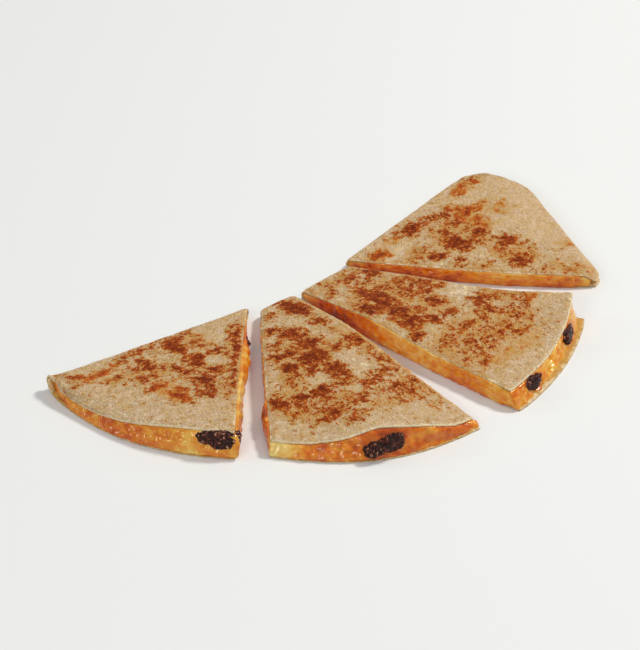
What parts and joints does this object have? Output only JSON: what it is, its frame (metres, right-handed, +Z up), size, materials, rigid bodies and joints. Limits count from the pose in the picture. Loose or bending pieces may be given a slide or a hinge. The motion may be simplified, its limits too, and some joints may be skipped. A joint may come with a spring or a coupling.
{
  "type": "quesadilla",
  "caption": "Folded flour tortilla filled with melted cheese and strips of steak, toasted in patches and cut into wedges that keep the half-moon.",
  "frame": {"origin": "middle of the spread half-moon, at the height of the surface it rests on", "axes": "+X along the fold, +Z up, the round edge towards -Y"},
  "size_m": [0.2766, 0.1544, 0.0144],
  "materials": {
    "tortilla": "dry toasted flour tortilla, pale with brown patches",
    "cheese": "glossy melted orange cheese",
    "steak": "dark grilled meat with a moist sheen"
  },
  "bodies": {
    "root": {"tortilla_1": "tortilla", "tortilla_2": "tortilla", "tortilla_3": "tortilla", "tortilla_4": "tortilla", "cheese_1": "cheese", "cheese_2": "cheese", "cheese_3": "cheese", "cheese_4": "cheese", "steak_1": "steak", "steak_2": "steak", "steak_3": "steak", "steak_4": "steak", "steak_5": "steak"}
  },
  "joints": []
}
